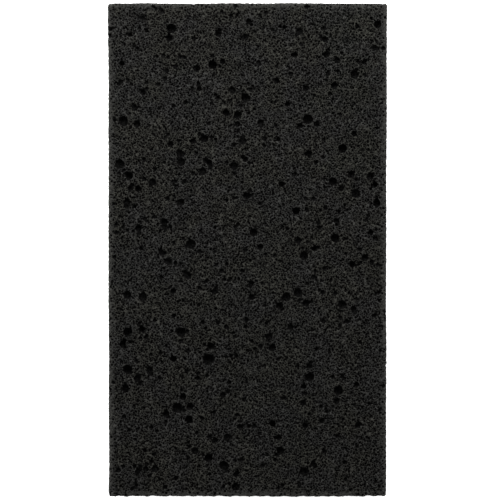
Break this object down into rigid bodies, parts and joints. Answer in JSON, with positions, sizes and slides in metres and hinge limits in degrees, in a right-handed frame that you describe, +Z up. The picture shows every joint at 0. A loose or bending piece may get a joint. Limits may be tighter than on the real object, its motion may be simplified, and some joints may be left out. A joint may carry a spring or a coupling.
{
  "type": "chalkboard eraser",
  "caption": "Rectangular block of black open-cell sponge foam, held in the hand to wipe chalk off a board.",
  "frame": {"origin": "centre of the face that the block rests on", "axes": "+Z up through the thickness, +Y along the length, +X across the width"},
  "size_m": [0.072, 0.127, 0.032],
  "materials": {
    "foam": "matt charcoal-black open-cell foam with sawn faces"
  },
  "bodies": {
    "root": {"foam_block": "foam"}
  },
  "joints": []
}
